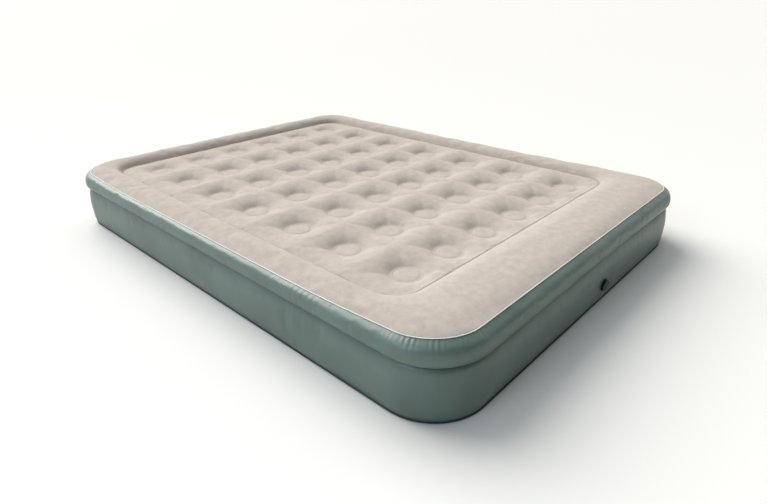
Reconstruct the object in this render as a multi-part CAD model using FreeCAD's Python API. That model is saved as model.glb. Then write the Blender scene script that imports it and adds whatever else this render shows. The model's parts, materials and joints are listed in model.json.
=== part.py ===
"""Air mattress: a flocked top with a raised border and welded coil dimples, PVC side walls, and an inflation valve."""
import FreeCAD, Part
import math
import os

Vector = FreeCAD.Vector

# Millimetres. +Y points to the head end, -Y to the foot end with the valve, +Z up.
# The origin is on the ground under the middle of the mattress.

# Outline of the seam that joins the flocked top to the side wall
SEAM_WIDTH = 1458.0
SEAM_LENGTH = 1957.0
SEAM_CORNER_R = 136.0
SEAM_Z = 222.0

# Film and weld thicknesses, drawn thick enough to mesh on a part of this size
FILM = 2.0
WELD = 2.0
SKIN_GAP = 0.2

# Lips of the welds
PIPING_WIDTH = 4.0
WAIST_LIP = 9.0
HEM_WIDTH = 4.0
HEM_Z = 0.4
HEM_T = 1.4

# Side wall: outward distance from the seam outline at each height
BOTTOM_OUT = 29.0
LOWER_BULGE_OUT = 31.5
WAIST_OUT = 21.0
WAIST_Z = 154.0
UPPER_BULGE_OUT = 30.0
UPPER_BULGE_Z = 180.0

# Flocked top
CREST_Z = 231.0
BORDER_SIDE = 100.0
BORDER_FOOT = 220.0
FIELD_CORNER_R = 80.0
FIELD_LINE_Z = 210.0
FIELD_Z = 219.0
FIELD_SLOPE = 14.0

# Coil dimples
COLUMNS = 6
ROWS = 7
PITCH_X = 192.0
PITCH_Y = 235.0
GRID_Y = 43.0
DISC_Z = 191.0
DISC_R = 46.0
DISH_R = 70.0
COIL_R = 43.0
COIL_FILM = 1.2
COIL_VENT_R = 7.0

# Inner perimeter web under the line where the field meets the border
WEB_CORNER_GAP = 110.0

# Valve in the foot wall; "out" is the distance outward from the seam outline
VALVE_X = 71.0
VALVE_Z = 60.0
WALL_HOLE_R = 18.6
PATCH_R = 30.0
BASE_BORE_R = 15.5
BASE_R = 18.0
BASE_FLANGE_R = 21.0
BASE_INNER_OUT = 9.0
FLANGE_OUT = 32.2
FLANGE_T = 1.0
SEAL_T = 0.6
PLUG_FIT = 0.06
PLUG_BORE_R = 11.0
PLUG_SEAT_R = 9.5
PLUG_COLLAR_R = 19.0
PLUG_COLLAR_T = 0.9
PLUG_NECK_R = 13.0
PLUG_NECK_HEIGHT = 3.0
PLUG_INNER_OUT = 16.0
SPIDER_T = 2.0
SPIDER_BAR = 2.4
FLAP_R = 13.0
FLAP_T = 1.2
FLAP_GAP = 0.1
CAP_GAP = 0.2
CAP_T = 1.4
CAP_R = 18.0
CAP_SKIRT_INNER_R = 13.9
CAP_SKIRT_R = 15.5
CAP_TAB_WIDTH = 12.0
CAP_TAB_LENGTH = 5.0
STRAP_WIDTH = 9.0
STRAP_T = 1.2
HINGE_X = 21.5

FOOT_Y = -SEAM_LENGTH / 2
SEAL_OUT = FLANGE_OUT + FLANGE_T
COLLAR_OUT = SEAL_OUT + SEAL_T
NECK_OUT = COLLAR_OUT + PLUG_COLLAR_T
CAP_OUT = NECK_OUT + PLUG_NECK_HEIGHT + CAP_GAP


def rounded_outline(x_half, y_low, y_high, radius, z):
    """A closed wire: a rectangle with round corners, at height z."""
    x_in = x_half - radius
    low_in = y_low + radius
    high_in = y_high - radius
    bend = radius * math.sqrt(0.5)
    corners = (
        ((x_in, low_in), -90.0),
        ((x_in, high_in), 0.0),
        ((-x_in, high_in), 90.0),
        ((-x_in, low_in), 180.0),
    )
    ends = []
    for (cx, cy), start in corners:
        points = []
        for turn in (0.0, 45.0, 90.0):
            angle = math.radians(start + turn)
            points.append(Vector(cx + radius * math.cos(angle), cy + radius * math.sin(angle), z))
        ends.append(points)
    edges = []
    for index, (first, middle, last) in enumerate(ends):
        edges.append(Part.Arc(first, middle, last).toShape())
        following = ends[(index + 1) % len(ends)][0]
        edges.append(Part.LineSegment(last, following).toShape())
    return Part.Wire(edges)


def seam_outline(out, z):
    """The seam outline moved outward by a distance, at height z."""
    half = SEAM_LENGTH / 2 + out
    return rounded_outline(SEAM_WIDTH / 2 + out, -half, half, SEAM_CORNER_R + out, z)


def border_outline(share, z):
    """An outline between the seam (share 0) and the line where the field starts (share 1)."""
    low = -SEAM_LENGTH / 2 + share * BORDER_FOOT
    high = SEAM_LENGTH / 2 - share * BORDER_SIDE
    radius = SEAM_CORNER_R + share * (FIELD_CORNER_R - SEAM_CORNER_R)
    return rounded_outline(SEAM_WIDTH / 2 - share * BORDER_SIDE, low, high, radius, z)


def field_outline(inset, z):
    """The outline of the field, moved inward by a distance."""
    low = -SEAM_LENGTH / 2 + BORDER_FOOT + inset
    high = SEAM_LENGTH / 2 - BORDER_SIDE - inset
    radius = FIELD_CORNER_R - inset / 2
    return rounded_outline(SEAM_WIDTH / 2 - BORDER_SIDE - inset, low, high, radius, z)


def plate(wire, thickness):
    """A flat plate standing up from a wire."""
    return Part.Face(wire).extrude(Vector(0, 0, thickness))


def wall(profile, thickness):
    """A side wall through (outward distance, height) stations."""
    outer = [seam_outline(out, z) for out, z in profile]
    inner = [seam_outline(out - thickness, z) for out, z in profile]
    return Part.makeLoft(outer, True, False).cut(Part.makeLoft(inner, True, False))


def ring(out_low, out_high, z, thickness):
    """A flat ring that follows the seam outline."""
    return plate(seam_outline(out_high, z), thickness).cut(plate(seam_outline(out_low, z), thickness))


def coil_centres(row):
    """The centres of the coils in one row across the mattress."""
    y = GRID_Y + (row - (ROWS - 1) / 2) * PITCH_Y
    return [((column - (COLUMNS - 1) / 2) * PITCH_X, y) for column in range(COLUMNS)]


def all_coil_centres():
    """The centres of every coil."""
    return [centre for row in range(ROWS) for centre in coil_centres(row)]


def bottom_sheet():
    """The sheet that lies on the ground."""
    return plate(seam_outline(BOTTOM_OUT, 0), FILM)


def bottom_hem():
    """The welded lip where the bottom sheet meets the side wall."""
    return ring(BOTTOM_OUT, BOTTOM_OUT + HEM_WIDTH, HEM_Z, HEM_T)


def lower_side_wall():
    """The tall lower part of the side wall, with the hole for the valve."""
    base_z = FILM
    top_z = WAIST_Z - WELD / 2
    profile = (
        (BOTTOM_OUT, base_z),
        (BOTTOM_OUT + 2.0, base_z + 22),
        (LOWER_BULGE_OUT, VALVE_Z),
        (LOWER_BULGE_OUT + 0.5, VALVE_Z + 40),
        (WAIST_OUT + 7.0, top_z - 14),
        (WAIST_OUT, top_z),
    )
    hole = valve_cylinder(WALL_HOLE_R, 0, 2 * LOWER_BULGE_OUT)
    return wall(profile, FILM).cut(hole)


def waist_weld():
    """The welded lip inside the groove between the two side bands."""
    return ring(WAIST_OUT - WAIST_LIP, WAIST_OUT, WAIST_Z - WELD / 2, WELD)


def upper_side_band():
    """The narrow rounded band between the groove and the top seam."""
    base_z = WAIST_Z + WELD / 2
    top_z = SEAM_Z - WELD
    profile = (
        (WAIST_OUT, base_z),
        (WAIST_OUT + 6.0, base_z + 7),
        (UPPER_BULGE_OUT, UPPER_BULGE_Z),
        (UPPER_BULGE_OUT - 8.0, top_z - 12),
        (FILM, top_z),
    )
    return wall(profile, FILM)


def top_piping():
    """The welded lip of the seam round the flocked top."""
    return ring(SKIN_GAP, SKIN_GAP + PIPING_WIDTH, SEAM_Z - WELD + SKIN_GAP, WELD)


def dish_faces(cx, cy):
    """The sloping side and the flat disc of one dimple."""
    rise = FIELD_Z - DISC_Z
    run = DISH_R - DISC_R
    curve = Part.BSplineCurve()
    curve.interpolate([
        Vector(cx + DISC_R, cy, DISC_Z),
        Vector(cx + DISC_R + 0.45 * run, cy, DISC_Z + 0.62 * rise),
        Vector(cx + DISH_R, cy, FIELD_Z),
    ])
    side = curve.toShape().revolve(Vector(cx, cy, 0), Vector(0, 0, 1), 360)
    disc = Part.Face(Part.Wire(Part.makeCircle(DISC_R, Vector(cx, cy, DISC_Z))))
    return [side.Faces[0], disc]


def field_faces():
    """The field inside the border, with a round hole for each dimple, and the dimples."""
    slope = Part.makeLoft([field_outline(0, FIELD_LINE_Z), field_outline(FIELD_SLOPE, FIELD_Z)], False, True)
    flat = Part.Face(field_outline(FIELD_SLOPE, FIELD_Z))
    mouths = []
    dishes = []
    for cx, cy in all_coil_centres():
        mouths.append(Part.Face(Part.Wire(Part.makeCircle(DISH_R, Vector(cx, cy, FIELD_Z)))))
        dishes.extend(dish_faces(cx, cy))
    return slope.Faces + flat.cut(mouths).Faces + dishes


def film_under(faces, edges):
    """A closed film under some faces; edges are the upright faces along its free edges."""
    lower = []
    for face in faces:
        copy = face.copy()
        copy.translate(Vector(0, 0, -FILM))
        lower.append(copy)
    skin = Part.Compound(faces + lower + edges)
    skin.sewShape()
    solid = Part.Solid(skin.Shells[0])
    if solid.Volume < 0:
        solid.reverse()
    solid.translate(Vector(0, 0, SKIN_GAP))
    return solid


def upright_edge(wire):
    """The upright faces of a film's edge below a wire that lies on its lower side."""
    return wire.extrude(Vector(0, 0, FILM)).Faces


def top_border():
    """The raised border of the flocked top, from the seam to the weld line of the field."""
    rise = CREST_Z - SEAM_Z
    border = Part.makeLoft([
        border_outline(0.0, SEAM_Z),
        border_outline(0.22, SEAM_Z + 0.78 * rise),
        border_outline(0.5, CREST_Z),
        border_outline(0.8, SEAM_Z + 0.45 * rise),
        border_outline(1.0, FIELD_LINE_Z),
    ], False, False)
    outer = upright_edge(border_outline(0.0, SEAM_Z - FILM))
    inner = upright_edge(border_outline(1.0, FIELD_LINE_Z - FILM))
    return film_under(border.Faces, outer + inner)


def top_field():
    """The lower field inside the border, with a dimple over each coil."""
    return film_under(field_faces(), upright_edge(field_outline(0, FIELD_LINE_Z - FILM)))


def border_web():
    """Four upright strips under the field's edge, open at the corners so that air passes."""
    height = FIELD_LINE_Z - FILM - 2 * FILM
    strips = plate(field_outline(0, FILM), height).cut(plate(field_outline(FILM, FILM), height))
    low = -SEAM_LENGTH / 2 + BORDER_FOOT
    high = SEAM_LENGTH / 2 - BORDER_SIDE
    side = SEAM_WIDTH / 2 - BORDER_SIDE
    gap = 2 * WEB_CORNER_GAP
    for x in (-side, side):
        for y in (low, high):
            corner = Vector(x - gap / 2, y - gap / 2, 0)
            strips = strips.cut(Part.makeBox(gap, gap, SEAM_Z, corner))
    return strips


def coil_row(row):
    """The air coils of one row: round film tubes with a vent hole in each."""
    base = 2 * FILM
    height = DISC_Z - 2 * FILM - base
    tubes = []
    for cx, cy in coil_centres(row):
        tube = Part.makeCylinder(COIL_R, height, Vector(cx, cy, base))
        tube = tube.cut(Part.makeCylinder(COIL_R - COIL_FILM, height, Vector(cx, cy, base)))
        vent = Part.makeCylinder(COIL_VENT_R, COIL_R + 5, Vector(cx, cy, SEAM_Z / 2), Vector(0, 1, 0))
        tubes.append(tube.cut(vent))
    return Part.Compound(tubes)


def coil_discs(z, radius):
    """The discs that weld one end of every coil to a sheet."""
    return Part.Compound([Part.makeCylinder(radius, FILM, Vector(x, y, z)) for x, y in all_coil_centres()])


def valve_cylinder(radius, out_low, out_high):
    """A cylinder on the valve's axis between two outward distances."""
    start = Vector(VALVE_X, FOOT_Y - out_low, VALVE_Z)
    return Part.makeCylinder(radius, out_high - out_low, start, Vector(0, -1, 0))


def valve_tube(inner, outer, out_low, out_high):
    """A tube on the valve's axis between two outward distances."""
    return valve_cylinder(outer, out_low, out_high).cut(valve_cylinder(inner, out_low, out_high))


def valve_box(x_low, x_high, width, out_low, out_high):
    """A bar across the valve, centred on its axis in height."""
    corner = Vector(VALVE_X + x_low, FOOT_Y - out_high, VALVE_Z - width / 2)
    return Part.makeBox(x_high - x_low, out_high - out_low, width, corner)


def valve_patch():
    """The film disc that welds the valve's base to the inside of the wall."""
    top = LOWER_BULGE_OUT - FILM - 2.0
    return valve_tube(BASE_R, PATCH_R, top - FILM, top)


def valve_base():
    """The barrel and outer flange that stay in the wall."""
    barrel = valve_tube(BASE_BORE_R, BASE_R, BASE_INNER_OUT, FLANGE_OUT)
    return barrel.fuse(valve_tube(BASE_BORE_R, BASE_FLANGE_R, FLANGE_OUT, SEAL_OUT)).removeSplitter()


def base_seal():
    """The flat rubber seal on the base's flange."""
    return valve_tube(BASE_BORE_R + 0.4, PLUG_COLLAR_R - 0.6, SEAL_OUT, COLLAR_OUT)


def valve_plug():
    """The large plug that pulls out to let the air go; its bore takes the pump nozzle."""
    barrel = valve_tube(PLUG_BORE_R, BASE_BORE_R - PLUG_FIT, PLUG_INNER_OUT, COLLAR_OUT)
    collar = valve_tube(PLUG_BORE_R, PLUG_COLLAR_R, COLLAR_OUT, NECK_OUT)
    neck = valve_tube(PLUG_BORE_R, PLUG_NECK_R, NECK_OUT, NECK_OUT + PLUG_NECK_HEIGHT)
    inner_end = PLUG_INNER_OUT + SPIDER_T
    seat = valve_tube(PLUG_SEAT_R, PLUG_BORE_R + 1, PLUG_INNER_OUT, inner_end)
    bar = valve_box(-PLUG_BORE_R, PLUG_BORE_R, SPIDER_BAR, PLUG_INNER_OUT, inner_end)
    upright = bar.copy()
    upright.rotate(Vector(VALVE_X, FOOT_Y, VALVE_Z), Vector(0, 1, 0), 90)
    return barrel.fuse([collar, neck, seat, bar, upright]).removeSplitter()


def check_flap():
    """The rubber flap that closes the plug's inner end against the air pressure."""
    top = PLUG_INNER_OUT - FLAP_GAP
    return valve_cylinder(FLAP_R, top - FLAP_T, top)


def valve_cap():
    """The small cap: a lid with a skirt that fits over the plug's neck, and a pull tab."""
    skirt = valve_tube(CAP_SKIRT_INNER_R, CAP_SKIRT_R, NECK_OUT + CAP_GAP, CAP_OUT)
    lid = valve_cylinder(CAP_R, CAP_OUT, CAP_OUT + CAP_T)
    tab_end = -CAP_R - CAP_TAB_LENGTH
    tab = valve_box(tab_end, -CAP_R / 2, CAP_TAB_WIDTH, CAP_OUT, CAP_OUT + CAP_T)
    return lid.fuse([skirt, tab]).removeSplitter()


def cap_strap():
    """The short flexible strap that ties the cap to the plug's collar."""
    reach = HINGE_X + 2.0
    low = COLLAR_OUT
    high = CAP_OUT + CAP_T
    foot = valve_box(PLUG_COLLAR_R - 1, reach, STRAP_WIDTH, low, low + STRAP_T)
    post = valve_box(reach - STRAP_T, reach, STRAP_WIDTH, low, high)
    arm = valve_box(CAP_R - 1, reach, STRAP_WIDTH, high - STRAP_T, high)
    strap = foot.fuse([post, arm]).cut(valve_cylinder(PLUG_COLLAR_R, low, low + STRAP_T))
    return strap.cut(valve_cylinder(CAP_R, CAP_OUT, high)).removeSplitter()


def all_parts():
    """Every node's name and shape."""
    parts = {
        "bottom_sheet": bottom_sheet(),
        "bottom_hem": bottom_hem(),
        "lower_side_wall": lower_side_wall(),
        "waist_weld": waist_weld(),
        "upper_side_band": upper_side_band(),
        "top_piping": top_piping(),
        "top_border": top_border(),
        "top_field": top_field(),
        "border_web": border_web(),
        "coil_bottom_discs": coil_discs(FILM, DISC_R),
        "coil_top_discs": coil_discs(DISC_Z - 2 * FILM, DISC_R),
        "valve_patch": valve_patch(),
        "valve_base": valve_base(),
        "base_seal": base_seal(),
        "valve_plug": valve_plug(),
        "check_flap": check_flap(),
        "valve_cap": valve_cap(),
        "cap_strap": cap_strap(),
    }
    for row in range(ROWS):
        parts["coil_row_%d" % (row + 1)] = coil_row(row)
    return parts


os.makedirs("parts", exist_ok=True)
for name, shape in all_parts().items():
    print(name, "valid" if shape.isValid() else "INVALID", len(shape.Solids), round(shape.Volume))
    shape.exportStep(os.path.join("parts", name + ".step"))
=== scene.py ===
"""Visual model of an air mattress: flocked top, PVC side walls, inner coils and the foot valve.

Every length is in metres, in the row frame: +Z up, +Y towards the head end, the origin on the ground.
"""
import functools
import json
import logging
import math
from dataclasses import dataclass, field
from enum import Enum

import bmesh
import bpy
import numpy as np
from mathutils import Matrix, Vector


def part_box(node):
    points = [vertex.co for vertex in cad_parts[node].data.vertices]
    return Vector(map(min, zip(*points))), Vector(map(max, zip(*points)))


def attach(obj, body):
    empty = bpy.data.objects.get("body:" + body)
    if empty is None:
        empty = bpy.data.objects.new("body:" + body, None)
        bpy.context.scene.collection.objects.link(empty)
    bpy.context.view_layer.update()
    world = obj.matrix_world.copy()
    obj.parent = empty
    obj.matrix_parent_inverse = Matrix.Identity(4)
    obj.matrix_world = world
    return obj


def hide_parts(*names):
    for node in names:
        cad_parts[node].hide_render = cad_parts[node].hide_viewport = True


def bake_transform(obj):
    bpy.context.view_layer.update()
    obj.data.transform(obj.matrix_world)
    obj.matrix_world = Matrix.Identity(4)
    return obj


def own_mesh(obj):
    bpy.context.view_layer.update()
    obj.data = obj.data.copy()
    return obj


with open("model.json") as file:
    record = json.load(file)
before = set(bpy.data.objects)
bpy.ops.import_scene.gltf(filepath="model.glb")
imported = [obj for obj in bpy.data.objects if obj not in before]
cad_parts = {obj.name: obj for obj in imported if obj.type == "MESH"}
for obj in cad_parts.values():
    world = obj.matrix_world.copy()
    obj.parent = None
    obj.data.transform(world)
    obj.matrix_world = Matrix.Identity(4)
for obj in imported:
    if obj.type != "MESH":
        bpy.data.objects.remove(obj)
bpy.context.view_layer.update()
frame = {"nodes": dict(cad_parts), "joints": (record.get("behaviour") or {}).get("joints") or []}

LOG = logging.getLogger("air_mattress")
MM = 0.001


class Body(Enum):
    """The moving bodies that the visual pieces ride on."""
    BASE = "base"
    TOP = "top"
    WAIST = "waist"


class Lamp(Enum):
    """The kinds of light in the studio."""
    AREA = "AREA"
    SUN = "SUN"


class Weld(Enum):
    """What holds a point of the flocked top down; a border point has minus the border's width instead."""
    FREE = 0.0
    DISC = 1.0
    RING = 1.9
    LINE = 2.0
    MARGIN = 3.0


def linear(hex_code: str) -> tuple[float, float, float, float]:
    """Turn an sRGB hex colour into linear RGBA.

    Args:
        hex_code: A colour such as "#C8BEB2".

    Returns:
        Red, green, blue and alpha, linear, from 0 to 1.
    """
    channels = []
    for start in (1, 3, 5):
        value = int(hex_code[start:start + 2], 16) / 255
        channels.append(value / 12.92 if value <= 0.04045 else ((value + 0.055) / 1.055) ** 2.4)
    return (channels[0], channels[1], channels[2], 1.0)


def add_node(tree: bpy.types.NodeTree, kind: str, settings: dict | None = None,
             inputs: dict | None = None) -> bpy.types.Node:
    """Add a shader node, set its properties and sockets, and link it.

    Args:
        tree: The material's or world's node tree.
        kind: The node's type name, such as "ShaderNodeTexNoise".
        settings: Properties to set on the node.
        inputs: Socket name or index to a value, or to the output socket that feeds it.

    Returns:
        The new node.
    """
    node = tree.nodes.new(kind)
    for name, value in (settings or {}).items():
        setattr(node, name, value)
    for key, value in (inputs or {}).items():
        socket = node.inputs[key]
        if isinstance(value, bpy.types.NodeSocket):
            tree.links.new(value, socket)
        else:
            socket.default_value = value
    return node


def new_material(name: str) -> tuple[bpy.types.Material, bpy.types.NodeTree, bpy.types.Node]:
    """Make an empty node material with its output.

    Args:
        name: The material's name.

    Returns:
        The material, its tree and its output node.
    """
    material = bpy.data.materials.new(name)
    material.use_nodes = True
    material.node_tree.nodes.clear()
    output = add_node(material.node_tree, "ShaderNodeOutputMaterial")
    return material, material.node_tree, output


def set_ramp(node: bpy.types.Node, stops: list[tuple[float, str]]) -> None:
    """Give a colour ramp its stops.

    Args:
        node: The colour ramp.
        stops: (position, sRGB hex) pairs.
    """
    elements = node.color_ramp.elements
    while len(elements) < len(stops):
        elements.new(0.5)
    for element, (position, colour) in zip(elements, stops):
        element.position = position
        element.color = linear(colour)


@dataclass(frozen=True)
class VelvetFlock:
    """Electrostatic rayon flock on PVC film: short upright fibres, so it is matt with a soft light edge.

    The hand leaves faint lighter and darker patches where the pile lies over, and the fibre tips give a fine
    grain.
    """
    light: str = "#ADA49C"
    dark: str = "#9F968E"
    # The darker tint on the weld lines is partly flock pressed flat by the weld and partly painted shade in
    # the weld grooves.
    pressed_and_shaded: str = "#887E76"
    patch_mm: float = 26.0
    grain_mm: float = 2.2  # real fibre spacing is under 0.2 mm; drawn coarser so that it shows

    def build(self) -> bpy.types.Material:
        """Build the finish.

        Returns:
            The material.
        """
        material, tree, output = new_material("velvet_flock")
        place = add_node(tree, "ShaderNodeTexCoord")
        patches = add_node(tree, "ShaderNodeTexNoise", inputs={
            "Vector": place.outputs["Object"], "Scale": 1 / (self.patch_mm * MM),
            "Detail": 5.0, "Roughness": 0.6})
        grain = add_node(tree, "ShaderNodeTexNoise", inputs={
            "Vector": place.outputs["Object"], "Scale": 1 / (self.grain_mm * MM),
            "Detail": 2.0, "Roughness": 0.7})
        mixed = add_node(tree, "ShaderNodeMix", {"data_type": "FLOAT"}, {
            0: 0.35, 2: patches.outputs["Fac"], 3: grain.outputs["Fac"]})
        ramp = add_node(tree, "ShaderNodeValToRGB", inputs={"Fac": mixed.outputs[0]})
        set_ramp(ramp, [(0.36, self.dark), (0.64, self.light)])
        bump = add_node(tree, "ShaderNodeBump", inputs={
            "Height": grain.outputs["Fac"], "Strength": 0.35, "Distance": 0.6 * MM})
        # Mask of the weld-line tint: flock pressed flat by the weld, plus painted shade in the grooves.
        weld = add_node(tree, "ShaderNodeAttribute", {"attribute_name": "pressed_and_shaded"})
        colour = add_node(tree, "ShaderNodeMix", {"data_type": "RGBA"}, {
            0: weld.outputs["Fac"], 6: ramp.outputs["Color"], 7: linear(self.pressed_and_shaded)})
        shader = add_node(tree, "ShaderNodeBsdfPrincipled", inputs={
            "Base Color": colour.outputs[2], "Normal": bump.outputs["Normal"], "Roughness": 0.95,
            "Specular IOR Level": 0.15, "Sheen Weight": 0.25, "Sheen Roughness": 0.5,
            "Sheen Tint": linear("#E9E0D6")})
        tree.links.new(shader.outputs["BSDF"], output.inputs["Surface"])
        return material


@dataclass(frozen=True)
class SatinVinyl:
    """Calendered PVC film with a fine emboss: a satin surface with broad soft highlights."""
    name: str = "satin_vinyl"
    light: str = "#5C7069"
    dark: str = "#51635C"
    roughness: float = 0.38
    emboss_mm: float = 1.6  # the real emboss is about 0.4 mm; drawn coarser so that it shows
    emboss_strength: float = 0.12

    def build(self) -> bpy.types.Material:
        """Build the finish.

        Returns:
            The material.
        """
        material, tree, output = new_material(self.name)
        place = add_node(tree, "ShaderNodeTexCoord")
        clouds = add_node(tree, "ShaderNodeTexNoise", inputs={
            "Vector": place.outputs["Object"], "Scale": 1 / (160 * MM), "Detail": 3.0})
        ramp = add_node(tree, "ShaderNodeValToRGB", inputs={"Fac": clouds.outputs["Fac"]})
        set_ramp(ramp, [(0.35, self.dark), (0.65, self.light)])
        emboss = add_node(tree, "ShaderNodeTexVoronoi", inputs={
            "Vector": place.outputs["Object"], "Scale": 1 / (self.emboss_mm * MM)})
        bump = add_node(tree, "ShaderNodeBump", inputs={
            "Height": emboss.outputs["Distance"], "Strength": self.emboss_strength, "Distance": 0.3 * MM})
        shine = add_node(tree, "ShaderNodeMapRange", inputs={
            "Value": clouds.outputs["Fac"], "To Min": self.roughness - 0.05, "To Max": self.roughness + 0.06})
        shader = add_node(tree, "ShaderNodeBsdfPrincipled", inputs={
            "Base Color": ramp.outputs["Color"], "Normal": bump.outputs["Normal"],
            "Roughness": shine.outputs["Result"], "IOR": 1.53, "Specular IOR Level": 0.45})
        tree.links.new(shader.outputs["BSDF"], output.inputs["Surface"])
        return material


@dataclass(frozen=True)
class MouldedPlastic:
    """Injection-moulded polyethylene with a spark-eroded mould texture: dark, with a dull shine."""
    name: str = "moulded_black"
    colour: str = "#141415"
    roughness: float = 0.48
    grit_mm: float = 0.8

    def build(self) -> bpy.types.Material:
        """Build the finish.

        Returns:
            The material.
        """
        material, tree, output = new_material(self.name)
        place = add_node(tree, "ShaderNodeTexCoord")
        grit = add_node(tree, "ShaderNodeTexNoise", inputs={
            "Vector": place.outputs["Object"], "Scale": 1 / (self.grit_mm * MM), "Detail": 2.0})
        ramp = add_node(tree, "ShaderNodeValToRGB", inputs={"Fac": grit.outputs["Fac"]})
        set_ramp(ramp, [(0.3, self.colour), (0.7, "#1C1C1E")])
        bump = add_node(tree, "ShaderNodeBump", inputs={
            "Height": grit.outputs["Fac"], "Strength": 0.2, "Distance": 0.1 * MM})
        shader = add_node(tree, "ShaderNodeBsdfPrincipled", inputs={
            "Base Color": ramp.outputs["Color"], "Normal": bump.outputs["Normal"],
            "Roughness": self.roughness, "IOR": 1.51})
        tree.links.new(shader.outputs["BSDF"], output.inputs["Surface"])
        return material


def new_object(name: str, data: bpy.types.ID) -> bpy.types.Object:
    """Make an object from mesh, light or camera data and link it to the scene.

    Args:
        name: The object's name.
        data: Its data.

    Returns:
        The new object.
    """
    item = bpy.data.objects.new(name, data)
    bpy.context.scene.collection.objects.link(item)
    return item


def new_piece(name: str, points: list, faces: list, material: bpy.types.Material) -> bpy.types.Object:
    """Make a smooth mesh object with one material.

    Args:
        name: The piece's name.
        points: Vertex positions.
        faces: Vertex numbers of each face.
        material: The finish.

    Returns:
        The new object, linked to the scene.
    """
    mesh = bpy.data.meshes.new(name)
    mesh.from_pydata([tuple(point) for point in points], [], faces)
    mesh.validate()
    mesh.update()
    mesh.polygons.foreach_set("use_smooth", [True] * len(mesh.polygons))
    mesh.materials.append(material)
    return new_object(name, mesh)


def quads(rings: int, size: int, base: int = 0, loop: bool = False, inward: bool = False) -> list[list[int]]:
    """Join successive closed rings of points with four-sided faces.

    Args:
        rings: How many rings there are.
        size: How many points each ring has.
        base: The number of the first point.
        loop: Whether the last ring joins the first.
        inward: Whether the faces run across the rings first, which turns them over.

    Returns:
        The vertex numbers of each face.
    """
    faces = []
    for ring in range(rings if loop else rings - 1):
        low = base + ring * size
        high = base + (ring + 1) % rings * size
        for number in range(size):
            after = (number + 1) % size
            if inward:
                faces.append([low + number, high + number, high + after, low + after])
            else:
                faces.append([low + number, low + after, high + after, high + number])
    return faces


def apply_modifier(piece: bpy.types.Object, name: str) -> None:
    """Apply one modifier of a piece.

    Args:
        piece: The piece.
        name: The modifier's name.
    """
    bpy.ops.object.select_all(action="DESELECT")
    bpy.context.view_layer.objects.active = piece
    piece.select_set(True)
    bpy.ops.object.modifier_apply(modifier=name)


def crease_between(piece: bpy.types.Object, chosen: np.ndarray, sharpness: float) -> None:
    """Keep the edges between chosen vertices sharp when the piece is subdivided.

    Args:
        piece: The piece.
        chosen: True for each vertex on a crease.
        sharpness: From 0, smooth, to 1, sharp.
    """
    mesh = piece.data
    ends = np.empty(len(mesh.edges) * 2, int)
    mesh.edges.foreach_get("vertices", ends)
    ends = ends.reshape(-1, 2)
    layer = mesh.attributes.new("crease_edge", "FLOAT", "EDGE")
    layer.data.foreach_set("value", (chosen[ends].all(axis=1) * sharpness).astype(np.float32))


def subdivide(piece: bpy.types.Object, levels: int) -> None:
    """Smooth a piece with an applied subdivision surface.

    Args:
        piece: The piece.
        levels: How many times each face is split in four.
    """
    modifier = piece.modifiers.new("rounding", "SUBSURF")
    modifier.levels = levels
    modifier.render_levels = levels
    modifier.boundary_smooth = "PRESERVE_CORNERS"
    apply_modifier(piece, modifier.name)


def positions(mesh: bpy.types.Mesh) -> np.ndarray:
    """Read a mesh's vertex positions.

    Args:
        mesh: The mesh.

    Returns:
        The positions, one a row.
    """
    flat = np.empty(len(mesh.vertices) * 3)
    mesh.vertices.foreach_get("co", flat)
    return flat.reshape(-1, 3)


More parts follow.
